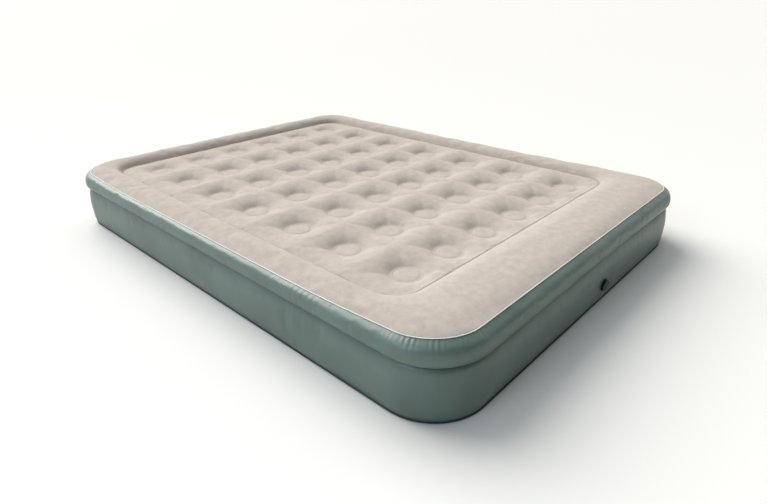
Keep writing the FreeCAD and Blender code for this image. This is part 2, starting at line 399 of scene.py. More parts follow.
@dataclass(frozen=True)
class Outline:
    """A rectangle with round corners, seen from above, walked anticlockwise."""
    x_half: float
    y_low: float
    y_high: float
    radius: float

    def grown(self, out: float) -> "Outline":
        """Return the outline moved outward by a distance."""
        return Outline(self.x_half + out, self.y_low - out, self.y_high + out, self.radius + out)

    @functools.lru_cache(maxsize=None)
    def runs(self) -> list[tuple[np.ndarray, np.ndarray, float]]:
        """Return the eight runs, straight and round in turn.

        Returns:
            For each run, the start or the arc's centre, the direction or the arc's first angle, the length.
        """
        x_in = self.x_half - self.radius
        low, high = self.y_low + self.radius, self.y_high - self.radius
        arc = self.radius * math.pi / 2
        return [
            (np.array([-x_in, self.y_low]), np.array([1.0, 0.0]), 2 * x_in),
            (np.array([x_in, low]), np.array([-90.0]), arc),
            (np.array([self.x_half, low]), np.array([0.0, 1.0]), high - low),
            (np.array([x_in, high]), np.array([0.0]), arc),
            (np.array([x_in, self.y_high]), np.array([-1.0, 0.0]), 2 * x_in),
            (np.array([-x_in, high]), np.array([90.0]), arc),
            (np.array([-self.x_half, high]), np.array([0.0, -1.0]), high - low),
            (np.array([-x_in, low]), np.array([180.0]), arc),
        ]

    def point(self, run: int, share: float) -> np.ndarray:
        """Return the point at a share of one of the eight runs.

        Args:
            run: The run's number, from 0 at the foot, anticlockwise.
            share: How far along the run, from 0 to 1.

        Returns:
            The x and y of the point.
        """
        start, heading, length = self.runs()[run]
        if run % 2 == 0:
            return start + heading * length * share
        angle = math.radians(heading[0] + 90 * share)
        return start + self.radius * np.array([math.cos(angle), math.sin(angle)])

    def station(self, place: np.ndarray) -> tuple[int, float]:
        """Find where on the outline a place lies.

        Args:
            place: The x and y of the place.

        Returns:
            The run and the share of it that lie nearest.
        """
        best = (0, 0.0)
        least = 1e9
        for run, (start, heading, length) in enumerate(self.runs()):
            if run % 2 == 0:
                share = float((place - start) @ heading) / length
            else:
                offset = place - start
                turn = math.degrees(math.atan2(offset[1], offset[0])) - heading[0]
                share = ((turn + 180) % 360 - 180) / 90
            share = min(max(share, 0.0), 1.0)
            gap = float(np.linalg.norm(self.point(run, share) - place))
            if gap < least - 1e-9:
                least = gap
                best = (run, share)
        return best

    def distance(self, spots: np.ndarray) -> np.ndarray:
        """Measure how far outside the outline each position lies.

        Args:
            spots: Positions, one a row.

        Returns:
            The distances, negative inside.
        """
        middle = np.array([0.0, (self.y_low + self.y_high) / 2])
        half = np.array([self.x_half, (self.y_high - self.y_low) / 2]) - self.radius
        over = np.abs(spots[:, :2] - middle) - half
        return np.linalg.norm(np.maximum(over, 0), axis=1) + np.minimum(over.max(axis=1), 0) - self.radius

    def even_stations(self, spacing: float, corner_spacing: float | None = None) -> list[tuple[int, float]]:
        """List stations all the way round, with no station twice.

        Args:
            spacing: About how far apart they are.
            corner_spacing: How far apart they are on the corners, where that differs.

        Returns:
            The run and the share of it of each station.
        """
        fewest = 4
        stations = []
        for run, (_, _, length) in enumerate(self.runs()):
            count = max(fewest, round(length / (corner_spacing if corner_spacing and run % 2 else spacing)))
            stations += [(run, index / count) for index in range(count)]
        return stations


def inflate(piece: bpy.types.Object, pinned: np.ndarray, pressure: float, growth: float, frames: int,
            cap: float, bending: float = 0.4) -> None:
    """Blow a sheet up between its weld lines with a cloth simulation, and keep the result.

    Args:
        piece: The sheet, with no modifier.
        pinned: One weight for each vertex, 1 where a weld holds it.
        pressure: The air pressure on the front faces.
        growth: How much longer than drawn the film is, as a share; the spare length makes the wrinkles.
        frames: How many frames to run.
        cap: The furthest that a point may move.
        bending: The film's resistance to folding.
    """
    scene = bpy.context.scene
    before = positions(piece.data)
    group = piece.vertex_groups.new(name="welds")
    group.add(np.nonzero(pinned > 0.5)[0].tolist(), 1.0, "REPLACE")
    modifier = piece.modifiers.new("air", "CLOTH")
    cloth = modifier.settings
    settings = {
        "quality": 5, "mass": 0.3, "air_damping": 4.0, "tension_stiffness": 20.0,
        "compression_stiffness": 8.0, "shear_stiffness": 8.0, "bending_stiffness": bending,
        "tension_damping": 15.0, "compression_damping": 15.0, "shear_damping": 15.0,
        "use_pressure": True, "uniform_pressure_force": pressure,
        "shrink_min": -growth, "shrink_max": -growth, "vertex_group_mass": group.name, "pin_stiffness": 2.0}
    for name, value in settings.items():
        setattr(cloth, name, value)
    cloth.effector_weights.gravity = 0.0
    modifier.collision_settings.use_collision = False
    modifier.point_cache.frame_start = 1
    modifier.point_cache.frame_end = frames
    for number in range(1, frames + 1):
        scene.frame_set(number)
    apply_modifier(piece, modifier.name)
    scene.frame_set(1)
    after = positions(piece.data)
    moved = after - before
    length = np.linalg.norm(moved, axis=1, keepdims=True)
    limit = np.minimum(1.0, cap / np.maximum(length, 1e-9))
    hold = (pinned < 0.99)[:, None]
    result = before + moved * limit * hold
    piece.data.vertices.foreach_set("co", result.ravel())
    piece.data.update()
    LOG.info("%s moved by up to %.1f mm, %.1f mm on average", piece.name,
             length.max() / MM, length.mean() / MM)


def settle_heights(points: np.ndarray, faces: list, fixed: np.ndarray, load: np.ndarray,
                   rounds: int) -> np.ndarray:
    """Find the heights of a stretched film under air pressure, held at its fixed points.

    Args:
        points: Vertex positions, with the fixed heights in place.
        faces: Vertex numbers of each face.
        fixed: True where a weld holds the film.
        load: Pressure over tension at each vertex, 1/m.
        rounds: How many rounds of relaxation to run.

    Returns:
        The height of each vertex.
    """
    pairs = set()
    for face in faces:
        for first, second in zip(face, face[1:] + face[:1]):
            pairs.add((min(first, second), max(first, second)))
    edges = np.array(sorted(pairs))
    start = np.concatenate([edges[:, 0], edges[:, 1]])
    end = np.concatenate([edges[:, 1], edges[:, 0]])
    count = len(points)
    area = np.zeros(count)
    face_area = np.zeros(len(faces))
    for number, face in enumerate(faces):
        ring = points[face][:, :2]
        following = np.roll(ring, -1, axis=0)
        face_area[number] = abs((ring[:, 0] * following[:, 1] - ring[:, 1] * following[:, 0]).sum()) / 2
    edge_number = {pair: number for number, pair in enumerate(map(tuple, edges))}
    beside = np.zeros(len(edges))
    for number, face in enumerate(faces):
        for corner in face:
            area[corner] += face_area[number] / len(face)
        for first, second in zip(face, face[1:] + face[:1]):
            beside[edge_number[(min(first, second), max(first, second))]] += face_area[number] / 2
    span = np.linalg.norm(points[edges[:, 0], :2] - points[edges[:, 1], :2], axis=1)
    weight = beside / span ** 2
    pull = np.concatenate([weight, weight])
    total = np.bincount(start, pull, count)
    free = ~fixed
    height = points[:, 2].copy()
    speed = np.zeros(count)
    source = load * area
    momentum, gain, step = 0.97, 0.9, 0.5
    for _ in range(rounds):
        mean = (np.bincount(start, pull * height[end], count) + source) / total
        speed = momentum * speed + gain * (mean - height) * free
        speed *= free
        height = height + speed * step
    return height


@dataclass(frozen=True)
class SeamBow:
    """How the air pushes the seam of the long sides outward and down between the corners."""
    seam: Outline
    out: float = 12 * MM
    drop: float = 9 * MM
    reach: float = 70 * MM
    corner_hold: float = 30 * MM

    def shift(self, spots: np.ndarray, held: np.ndarray) -> np.ndarray:
        """Bow positions.

        Args:
            spots: Positions, with the seam straight.
            held: How far each one goes with the seam, from 0 to 1.

        Returns:
            The positions after the bow.
        """
        middle = (self.seam.y_high + self.seam.y_low) / 2
        half = (self.seam.y_high - self.seam.y_low) / 2
        along = np.clip(2 * (1 - np.abs(spots[:, 1] - middle) / (half - self.corner_hold)), 0, 1)
        beside = np.clip((np.abs(spots[:, 0]) - self.seam.x_half + self.reach) / self.reach, 0, 1)
        amount = np.sin(math.pi / 2 * along) * beside * beside * (3 - 2 * beside) * held
        moved = spots.copy()
        moved[:, 0] += np.sign(spots[:, 0]) * self.out * amount
        moved[:, 2] -= self.drop * amount
        return moved

    def apply(self, piece: bpy.types.Object, held: np.ndarray) -> None:
        """Bow a piece."""
        piece.data.vertices.foreach_set("co", self.shift(positions(piece.data), held).ravel())
        piece.data.update()


@dataclass
class FlockedTop:
    """The flocked top sheet: a border roll, a lower field, and a dimple over each welded coil disc."""
    flock: bpy.types.Material
    columns: int = 6
    rows: int = 7
    weld_width: float = 5 * MM
    disc_rim: float = 3 * MM
    dome: float = 1.5 * MM
    spacing: float = 16 * MM
    border_rows: int = 12
    field_load: float = 6.8
    field_rise: float = 33 * MM
    field_bend: float = 23 * MM
    groove: float = 2.2 * MM
    dish: float = 1.35
    arch: float = 60 * MM
    start_rise: float = 20 * MM
    pressure: float = 0.6
    growth: float = 0.004
    frames: int = 14
    most: float = 4 * MM
    corner_radius: float = 136 * MM
    rim_radius: float = 80 * MM
    rounds: int = 700
    shares: tuple[float, ...] = (0.07, 0.17, 0.30, 0.45, 0.62, 0.80, 0.95, 1.0)
    seam: Outline = field(init=False)
    rim: Outline = field(init=False)
    points: list = field(init=False, default_factory=list)
    faces: list = field(init=False, default_factory=list)
    kinds: list = field(init=False, default_factory=list)

    def __post_init__(self) -> None:
        """Take the heights and the places from the CAD boxes, and lay out the cells."""
        low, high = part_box("top_border")
        web_low, web_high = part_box("border_web")
        disc_low, disc_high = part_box("coil_top_discs")
        film = 2 * MM
        self.seam_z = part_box("top_piping")[1][2]
        self.crest_z = high[2]
        self.line_z = web_high[2]
        self.disc_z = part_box("top_field")[0][2] + film
        self.seam = Outline(high[0], low[1], high[1], self.corner_radius)
        self.rim = Outline(web_high[0], web_low[1], web_high[1], self.rim_radius)
        coil_low, coil_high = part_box("coil_row_1")
        self.disc_r = (coil_high[1] - coil_low[1]) / 2 + self.disc_rim
        self.x_first = disc_low[0] + self.disc_r
        self.y_first = disc_low[1] + self.disc_r
        self.pitch_x = (disc_high[0] - disc_low[0] - 2 * self.disc_r) / (self.columns - 1)
        self.pitch_y = (disc_high[1] - disc_low[1] - 2 * self.disc_r) / (self.rows - 1)
        self.xs = self.lines(self.x_first, self.pitch_x, self.columns, -self.rim.x_half, self.rim.x_half)
        self.ys = self.lines(self.y_first, self.pitch_y, self.rows, self.rim.y_low, self.rim.y_high)
        self.nx = [round((end - start) / self.spacing) for start, end in zip(self.xs, self.xs[1:])]
        self.ny = [round((end - start) / self.spacing) for start, end in zip(self.ys, self.ys[1:])]

    def lines(self, first: float, pitch: float, count: int, low: float, high: float) -> list[float]:
        """List the lines between cells along one direction.

        Args:
            first: The middle of the first dimple.
            pitch: The distance from dimple to dimple.
            count: How many dimples there are.
            low: The field's near edge.
            high: The field's far edge.

        Returns:
            The place of each line, from edge to edge of the field.
        """
        return [low] + [first + pitch * (number + 0.5) for number in range(count - 1)] + [high]

    def corner_path(self, start: np.ndarray, corner: np.ndarray, end: np.ndarray,
                    count: int) -> list[np.ndarray]:
        """Walk along two sides of the field that meet in a round corner.

        Args:
            start: Where the first side begins.
            corner: Where the two sides would meet.
            end: Where the second side ends.
            count: How many steps to take.

        Returns:
            The points, with both ends.
        """
        radius = self.rim.radius
        toward_start = (start - corner) / np.linalg.norm(start - corner)
        toward_end = (end - corner) / np.linalg.norm(end - corner)
        first = np.linalg.norm(start - corner) - radius
        last = np.linalg.norm(end - corner) - radius
        arc = radius * math.pi / 2
        centre = corner + radius * (toward_start + toward_end)
        path = []
        for number in range(count + 1):
            along = (first + arc + last) * number / count
            if along <= first:
                path.append(start - toward_start * along)
            elif along <= first + arc:
                angle = (along - first) / radius
                path.append(centre - radius * (toward_end * math.cos(angle) + toward_start * math.sin(angle)))
            else:
                path.append(corner + toward_end * (radius + along - first - arc))
        return path

    def cell_ring(self, column: int, row: int) -> list[np.ndarray]:
        """Walk round one dimple's cell.

        Args:
            column: The dimple's column.
            row: The dimple's row.

        Returns:
            The points, anticlockwise, with none twice.
        """
        x0, x1, y0, y1 = self.xs[column], self.xs[column + 1], self.ys[row], self.ys[row + 1]
        corners = [np.array([x0, y0]), np.array([x1, y0]), np.array([x1, y1]), np.array([x0, y1])]
        counts = [self.nx[column], self.ny[row]] * 2
        at_x = {0: 0, self.columns - 1: 1}.get(column)
        at_y = {0: 0, self.rows - 1: 1}.get(row)
        rounded = None
        if at_x is not None and at_y is not None:
            rounded = [[0, 3], [1, 2]][at_x][at_y]
        ring = []
        side = 0 if rounded is None else (rounded + 1) % 4
        for _ in range(4):
            following = (side + 1) % 4
            if rounded is not None and following == rounded:
                after = (rounded + 1) % 4
                path = self.corner_path(corners[side], corners[rounded], corners[after],
                                        counts[side] + counts[rounded])
                ring += path[:-1]
                break
            for number in range(counts[side]):
                share = number / counts[side]
                ring.append(corners[side] * (1 - share) + corners[following] * share)
            side = following
        return ring

    def rings(self) -> list[tuple[float, float]]:
        """List the dimple's inner rings, out to the weld and its ridge.

        Returns:
            The radius and the height above the disc of each.
        """
        edge = self.disc_r
        return [
            (edge * 0.30, self.dome),
            (edge * 0.58, self.dome * 0.9),
            (edge - 2.0 * self.weld_width, self.dome * 0.6),
            (edge - 1.4 * self.weld_width, -1.2 * MM),
            (edge - 0.8 * self.weld_width, 1.0 * MM),
            (edge, -0.3 * MM),
        ]

    def build(self) -> bpy.types.Object:
        """Build and inflate the sheet.

        Returns:
            The sheet.
        """
        for row in range(self.rows):
            for column in range(self.columns):
                self.add_cell(column, row)
        self.add_border()
        points, faces, kinds = self.merged()
        touching, margin_rise = 0.1 * MM, 0.5 * MM
        gap = np.abs(self.rim.distance(points))
        on_line = gap < touching
        beside = (gap < self.weld_width) & (kinds <= 0)
        points[beside, 2] = self.line_z + margin_rise
        kinds[beside] = Weld.MARGIN.value
        points[on_line, 2] = self.line_z - self.groove
        heights = settle_heights(points, faces, kinds > 0, self.loads(kinds), self.rounds)
        rise = heights - self.disc_z
        flat = self.field_rise * (1 - np.exp(-np.maximum(rise, 0) / self.field_bend)) ** self.dish
        points[:, 2] = np.where(kinds == Weld.FREE.value, self.disc_z + flat, heights)
        self.steepen(points, kinds)
        piece = new_piece("flocked_top", points, faces, self.flock)
        # Weld-line tint: 0.8 on the rim line, 0.1 beside it, 0.25 in each disc's weld ring; partly pressed
        # flock, partly painted shade in and beside these grooves.
        pressed_and_shaded = np.select([on_line, beside, kinds == Weld.RING.value], [0.8, 0.1, 0.25], 0.0)
        layer = piece.data.attributes.new("pressed_and_shaded", "FLOAT", "POINT")
        layer.data.foreach_set("value", pressed_and_shaded.astype(np.float32))
        inflate(piece, (kinds > 0).astype(float), self.pressure, self.growth, self.frames, self.most)
        SeamBow(self.seam).apply(piece, np.ones(len(kinds)))
        crease_between(piece, kinds == Weld.LINE.value, 0.9)
        subdivide(piece, 1)
        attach(piece, "top")
        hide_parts("top_border", "top_field")
        return piece

    def steepen(self, points: np.ndarray, kinds: np.ndarray) -> None:
        """Raise the inner half of the border roll to the round arch that it makes over its weld line.

        Args:
            points: The positions, changed in place.
            kinds: What holds each point.
        """
        width = np.where(kinds < 0, -kinds, 1.0)
        out = self.rim.distance(points) - self.weld_width
        half = np.minimum(width / 2 - self.weld_width, self.arch)
        part = np.clip(out / half, 0, 1)
        arch = self.line_z + (self.crest_z - self.line_z) * np.sqrt(1 - (1 - part) ** 2)
        inner = (kinds < 0) & (out < width / 2)
        points[:, 2] = np.where(inner, np.maximum(points[:, 2], arch), points[:, 2])

    def add(self, spot: np.ndarray, height: float, kind: float) -> None:
        """Add one point and what holds it."""
        self.points.append([spot[0], spot[1], height])
        self.kinds.append(kind)

    def join(self, base: int, count: int, bands: int, tip: int | None = None) -> None:
        """Join rings of points with faces, one sector after another.

        Args:
            base: The number of the innermost ring's first point.
            count: How many points each ring has.
            bands: How many bands of faces there are.
            tip: The number of the point in the middle, if there is one.
        """
        for number in range(count):
            after = (number + 1) % count
            if tip is not None:
                self.faces.append([tip, base + number, base + after])
            for band in range(bands):
                low = base + band * count
                high = low + count
                self.faces.append([low + number, high + number, high + after, low + after])

    def add_cell(self, column: int, row: int) -> None:
        """Add one dimple: a disc, its weld ring, and the film out to the cell's outline.

        Args:
            column: The dimple's column.
            row: The dimple's row.
        """
        centre = np.array([self.x_first + column * self.pitch_x, self.y_first + row * self.pitch_y])
        ring = self.cell_ring(column, row)
        base = len(self.points)
        self.add(centre, self.disc_z + self.dome, Weld.DISC.value)
        levels = self.rings()
        sunk = min(rise for _, rise in levels)
        headings = [(place - centre) / np.linalg.norm(place - centre) for place in ring]
        for radius, rise in levels:
            for heading in headings:
                kind = Weld.RING if rise == sunk else Weld.DISC
                self.add(centre + heading * radius, self.disc_z + rise, kind.value)
        for share in self.shares:
            for heading, place in zip(headings, ring):
                inner = centre + heading * self.disc_r
                height = self.disc_z + self.start_rise * math.sin(share * math.pi / 2)
                self.add(inner * (1 - share) + place * share, height, Weld.FREE.value)
        self.join(base + 1, len(ring), len(levels) + len(self.shares) - 1, tip=base)

    def add_border(self) -> None:
        """Add the border roll between the field's rim and the seam."""
        rim = self.rim_points()
        stations = [self.rim.station(place) for place in rim]
        outer = [self.seam.point(run, share) for run, share in stations]
        base = len(self.points)
        closer, least = 0.06, 0.03
        for level in range(self.border_rows + 1):
            share = max(level - 1, 0) / (self.border_rows - 1)
            share = max(share - closer * math.sin(2 * math.pi * share), least * level)
            chord = self.line_z + (self.seam_z - self.line_z) * share
            height = chord + self.start_rise * math.sin(math.pi * share)
            welded = level in (0, self.border_rows)
            for inside, outside in zip(rim, outer):
                kind = Weld.LINE.value if welded else -float(np.linalg.norm(outside - inside))
                self.add(inside * (1 - share) + outside * share, height, kind)
        self.join(base, len(rim), self.border_rows)

    def rim_points(self) -> list[np.ndarray]:
        """Collect the points of the field's rim from the cells.

        Returns:
            The points, anticlockwise.
        """
        same = 1e-6
        rim: list = []
        order = [(column, 0) for column in range(self.columns)]
        order += [(self.columns - 1, row) for row in range(1, self.rows)]
        order += [(column, self.rows - 1) for column in range(self.columns - 2, -1, -1)]
        order += [(0, row) for row in range(self.rows - 2, 0, -1)]
        for column, row in order:
            for place in self.cell_ring(column, row):
                run, share = self.rim.station(place)
                if np.linalg.norm(self.rim.point(run, share) - place) < same:
                    if not any(np.linalg.norm(place - other) < same for other in rim):
                        rim.append(place)
        keys = [sum(self.rim.station(place)) for place in rim]
        return [place for _, place in sorted(zip(keys, rim), key=lambda pair: pair[0])]

    def merged(self) -> tuple[np.ndarray, list, np.ndarray]:
        """Join the points that cells and border share, and keep a weld wherever one of them has it.

        Returns:
            The positions, the faces and the kinds, with no point twice.
        """
        grid = 0.01 * MM
        place: dict = {}
        number = np.empty(len(self.points), int)
        kept: list = []
        kept_kinds: list = []
        for index, (point, kind) in enumerate(zip(self.points, self.kinds)):
            key = (round(point[0] / grid), round(point[1] / grid))
            near = [(key[0] + a, key[1] + b) for a in (0, -1, 1) for b in (0, -1, 1)]
            found = next((place[k] for k in near if k in place), None)
            if found is None:
                place[key] = len(kept)
                number[index] = len(kept)
                kept.append(list(point))
                kept_kinds.append(kind)
            else:
                number[index] = found
                if kind > 0:
                    kept_kinds[found] = kind
                    kept[found][2] = point[2]
        joined = [[int(number[corner]) for corner in face] for face in self.faces]
        return np.array(kept), joined, np.array(kept_kinds)

    def loads(self, kinds: np.ndarray) -> np.ndarray:
        """Work out pressure over tension: the wider the border, the slacker its film is drawn.

        Args:
            kinds: What holds each point.

        Returns:
            The load at each point, 1/m.
        """
        crown = self.crest_z - (self.seam_z + self.line_z) / 2
        width = np.where(kinds < 0, -kinds, 1.0)
        field_load = np.where(kinds == Weld.FREE.value, self.field_load, 0.0)
        return np.where(kinds < 0, 8 * crown / width ** 2, field_load)


@dataclass
class SideFilm:
    """One band of the side wall: PVC film that bulges between two welds and gathers at the corners."""
    name: str
    node: str
    seam: Outline
    profile: list[tuple[float, float]]  # (distance outward from the seam, height), from the bottom up
    vinyl: bpy.types.Material
    rows: int
    spacing: float
    keep: float
    growth: float = 0.003
    cap: float = 2.5 * MM
    dent_depth: float = 0.0
    bowed: bool = False
    corner_spacing: float | None = None
    corner_pleat: float = 12 * MM
    side_pleat: float = 20 * MM
    gather_top: float = 1.9 * MM
    gather_bottom: float = 0.3 * MM
    wave: float = 0.4 * MM
    pressure: float = 0.5
    frames: int = 12
    bending: float = 0.15
    mean_out: float = 30 * MM

    def section(self) -> list[tuple[float, float]]:
        """Space rows + 1 points evenly along a smooth curve through the profile.

        Returns:
            The distance outward and the height of each.
        """
        knots = np.array([self.profile[0], *self.profile, self.profile[-1]])
        curve = []
        for before, start, end, after in zip(knots, knots[1:], knots[2:], knots[3:]):
            for t in np.linspace(0, 1, 24, endpoint=False):
                curve.append(0.5 * (2 * start + (end - before) * t
                                    + (2 * before - 5 * start + 4 * end - after) * t ** 2
                                    + (3 * start - before - 3 * end + after) * t ** 3))
        curve.append(knots[-1])
        curve = np.array(curve)
        travel = np.concatenate([[0], np.cumsum(np.linalg.norm(np.diff(curve, axis=0), axis=1))])
        wanted = np.linspace(0, travel[-1], self.rows + 1)
        return list(zip(np.interp(wanted, travel, curve[:, 0]), np.interp(wanted, travel, curve[:, 1])))

    def build(self) -> bpy.types.Object:
        """Build and inflate the band.

        Returns:
            The band.
        """
        middle = self.seam.grown(self.mean_out)
        stations = middle.even_stations(self.spacing, self.corner_spacing)
        count = len(stations)
        spots = np.array([self.seam.point(run, part) for run, part in stations])
        steps = np.linalg.norm(np.roll(spots, -1, axis=0) - spots, axis=1)
        travelled = np.concatenate([[0], np.cumsum(steps)])
        section = self.section()
        noise = np.random.default_rng(len(self.name))
        phase = noise.uniform(0, 2 * math.pi, 6)
        points = []
        for level, (out, height) in enumerate(section):
            share = level / self.rows
            outline = self.seam.grown(out)
            for number, (run, part) in enumerate(stations):
                spot = outline.point(run, part)
                heading = self.heading(run, part)
                ripple = self.ripple(run, part, travelled[number], travelled[-1], share, phase)
                points.append([spot[0] + heading[0] * ripple, spot[1] + heading[1] * ripple, height])
        piece = new_piece(self.name, points, quads(self.rows + 1, count), self.vinyl)
        pinned = np.zeros(len(points))
        pinned[:count] = 1.0
        pinned[-count:] = 1.0
        inflate(piece, pinned, self.pressure, self.growth, self.frames, self.cap, self.bending)
        self.dent(piece)
        if self.bowed:
            shares = np.repeat(np.arange(self.rows + 1) / self.rows, count)
            SeamBow(self.seam, reach=200 * MM).apply(piece, shares ** 2)
        subdivide(piece, 1)
        self.open_hole(piece)
        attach(piece, "base")
        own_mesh(piece)
        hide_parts(self.node)
        length = sum(length for _, _, length in middle.runs())
        return piece

    def dent(self, piece: bpy.types.Object) -> None:
        """Draw the film in round the valve, where the stiff weld patch holds it flat.

        Args:
            piece: The band.
        """
        if self.dent_depth == 0:
            return
        low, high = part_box("valve_patch")
        middle = (low + high) / 2
        patch, fade = 30 * MM, 42 * MM
        flat_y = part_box("valve_base")[0][1] + self.dent_depth
        spots = positions(piece.data)
        away = np.hypot(spots[:, 0] - middle[0], spots[:, 2] - middle[2])
        hold = np.clip((patch + fade - away) / fade, 0, 1)
        hold = hold ** 2 * (3 - 2 * hold) * (spots[:, 1] < 0)
        spots[:, 1] += (flat_y - spots[:, 1]) * hold
        piece.data.vertices.foreach_set("co", spots.ravel())

    def open_hole(self, piece: bpy.types.Object) -> None:
        """Open the film where the valve passes through it, under the edge of the valve's flange.

        Args:
            piece: The band.
        """
        if self.dent_depth == 0:
            return
        covered, snap = 2 * MM, 2.8 * MM
        low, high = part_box("valve_base")
        middle = (low + high) / 2
        radius = (high[2] - low[2]) / 2 - covered
        work = bmesh.new()
        work.from_mesh(piece.data)
        away = {}
        for vertex in work.verts:
            side = vertex.co.x - middle[0], vertex.co.z - middle[2]
            reach = math.hypot(*side)
            if vertex.co.y < 0 and abs(reach - radius) < snap:
                vertex.co.x = middle[0] + side[0] * radius / reach
                vertex.co.z = middle[2] + side[1] * radius / reach
                reach = radius
            away[vertex] = reach if vertex.co.y < 0 else 1.0
        limit = radius + 0.1 * MM
        inside = [face for face in work.faces if max(away[vertex] for vertex in face.verts) < limit]
        bmesh.ops.delete(work, geom=inside, context="FACES")
        work.to_mesh(piece.data)
        work.free()

    def heading(self, run: int, part: float) -> tuple[float, float]:
        """Find the outward direction at a station.

        Args:
            run: The run of the outline.
            part: How far along the run, from 0 to 1.

        Returns:
            The direction's x and y.
        """
        if run % 2 == 0:
            return ((0, -1), (1, 0), (0, 1), (-1, 0))[run // 2]
        angle = math.radians((-90, 0, 90, 180)[run // 2] + 90 * part)
        return (math.cos(angle), math.sin(angle))

    def ripple(self, run: int, part: float, along: float, total: float, share: float,
               phase: np.ndarray) -> float:
        """Work out how far gathers and slow waves move the film outward at a station.

        The gathers are round the corners and in one cluster on the near long side, right under the seam.

        Args:
            run: The run of the outline.
            part: How far along the run, from 0 to 1.
            along: How far round the outline, in metres.
            total: The whole way round.
            share: How far up the band, from 0 to 1.
            phase: Where each wave starts.

        Returns:
            The distance outward.
        """
        near_side = 6
        cluster_place, cluster_width, corner_fade, lull = 0.30, 0.07, 40 * MM, 57 * MM
        top_fade, bottom_fade, few_waves, many_waves = 11, 6, 11, 23
        corner = 1.0
        cluster = 0.0
        if run % 2 == 0:
            length = self.seam.runs()[run][2]
            end = min(part, 1 - part) * length
            corner = math.exp(-end / corner_fade)
            if run == near_side and part > 0.5:
                cluster = math.exp(-((end - cluster_place) / cluster_width) ** 2)
        turn = 2 * math.pi * along
        tight = math.sin(turn / self.corner_pleat + phase[0]) * (1 + math.sin(turn / lull + phase[4])) / 2
        loose = math.sin(turn / self.side_pleat + phase[1])
        top = (1 - share) * top_fade * math.exp(1 - (1 - share) * top_fade)
        bottom = share * bottom_fade * math.exp(1 - share * bottom_fade)
        slow = math.sin(few_waves * turn / total + phase[2])
        slow += 0.6 * math.sin(many_waves * turn / total + phase[3])
        depth = self.gather_top * top + self.gather_bottom * bottom
        gathers = (corner * tight * 0.8 + cluster * loose) * depth
        return gathers + slow * math.sin(math.pi * share) * self.wave


@dataclass
class Lip:
    """A welded lip that follows an outline: a narrow strip with a rounded edge."""
    name: str
    node: str
    body: Body
    slot: str
    outline: Outline
    width: float
    z_low: float
    z_high: float
    finish: bpy.types.Material
    wander: float = 0.15 * MM
    spacing: float = 12 * MM
    around: int = 10
    bowed: bool = False

    def build(self) -> bpy.types.Object:
        """Build the lip.

        Returns:
            The lip.
        """
        stations = self.outline.even_stations(self.spacing)
        middle = (self.z_low + self.z_high) / 2
        half = (self.z_high - self.z_low) / 2
        ring = []
        for step in range(self.around):
            angle = 2 * math.pi * step / self.around
            ring.append((self.width / 2 + self.width / 2 * math.cos(angle), middle + half * math.sin(angle)))
        points: list | np.ndarray = []
        noise = np.random.default_rng(3)
        for run, part in stations:
            shift = noise.normal(0, self.wander)
            for out, height in ring:
                spot = self.outline.grown(out).point(run, part)
                points.append([spot[0], spot[1], height + shift])
        faces = quads(len(stations), self.around, loop=True, inward=True)
        if self.bowed:
            points = SeamBow(self.outline).shift(np.array(points), np.ones(len(points)))
        piece = new_piece(self.name, points, faces, self.finish)
        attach(piece, self.body.value)
        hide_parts(self.node)
        return piece


@dataclass
class GroundSheet:
    """The bottom film that lies on the ground, with its welded edge."""
    outline: Outline
    vinyl: bpy.types.Material
    thickness: float = 1.2 * MM
    steps: int = 14
    spacing: float = 20 * MM

    def build(self) -> bpy.types.Object:
        """Build the sheet.

        Returns:
            The sheet.
        """
        stations = self.outline.even_stations(self.spacing)
        count = len(stations)
        middle = np.array([0.0, (self.outline.y_low + self.outline.y_high) / 2])
        points = []
        faces = []
        for side, height in enumerate((0.0, self.thickness)):
            base = len(points)
            for step in range(self.steps):
                share = 1 - step / self.steps
                for run, part in stations:
                    spot = middle + (self.outline.point(run, part) - middle) * share
                    points.append([spot[0], spot[1], height])
            points.append([middle[0], middle[1], height])
            for step in range(self.steps):
                for number in range(count):
                    after = (number + 1) % count
                    low = base + step * count
                    if step == self.steps - 1:
                        face = [low + number, low + after, base + self.steps * count]
                    else:
                        face = [low + number, low + after, low + count + after, low + count + number]
                    faces.append(face if side else face[::-1])
        above = self.steps * count + 1
        for number in range(count):
            after = (number + 1) % count
            faces.append([number, after, above + after, above + number])
        piece = new_piece("ground_sheet", points, faces, self.vinyl)
        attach(piece, "base")
        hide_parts("bottom_sheet")
        return piece


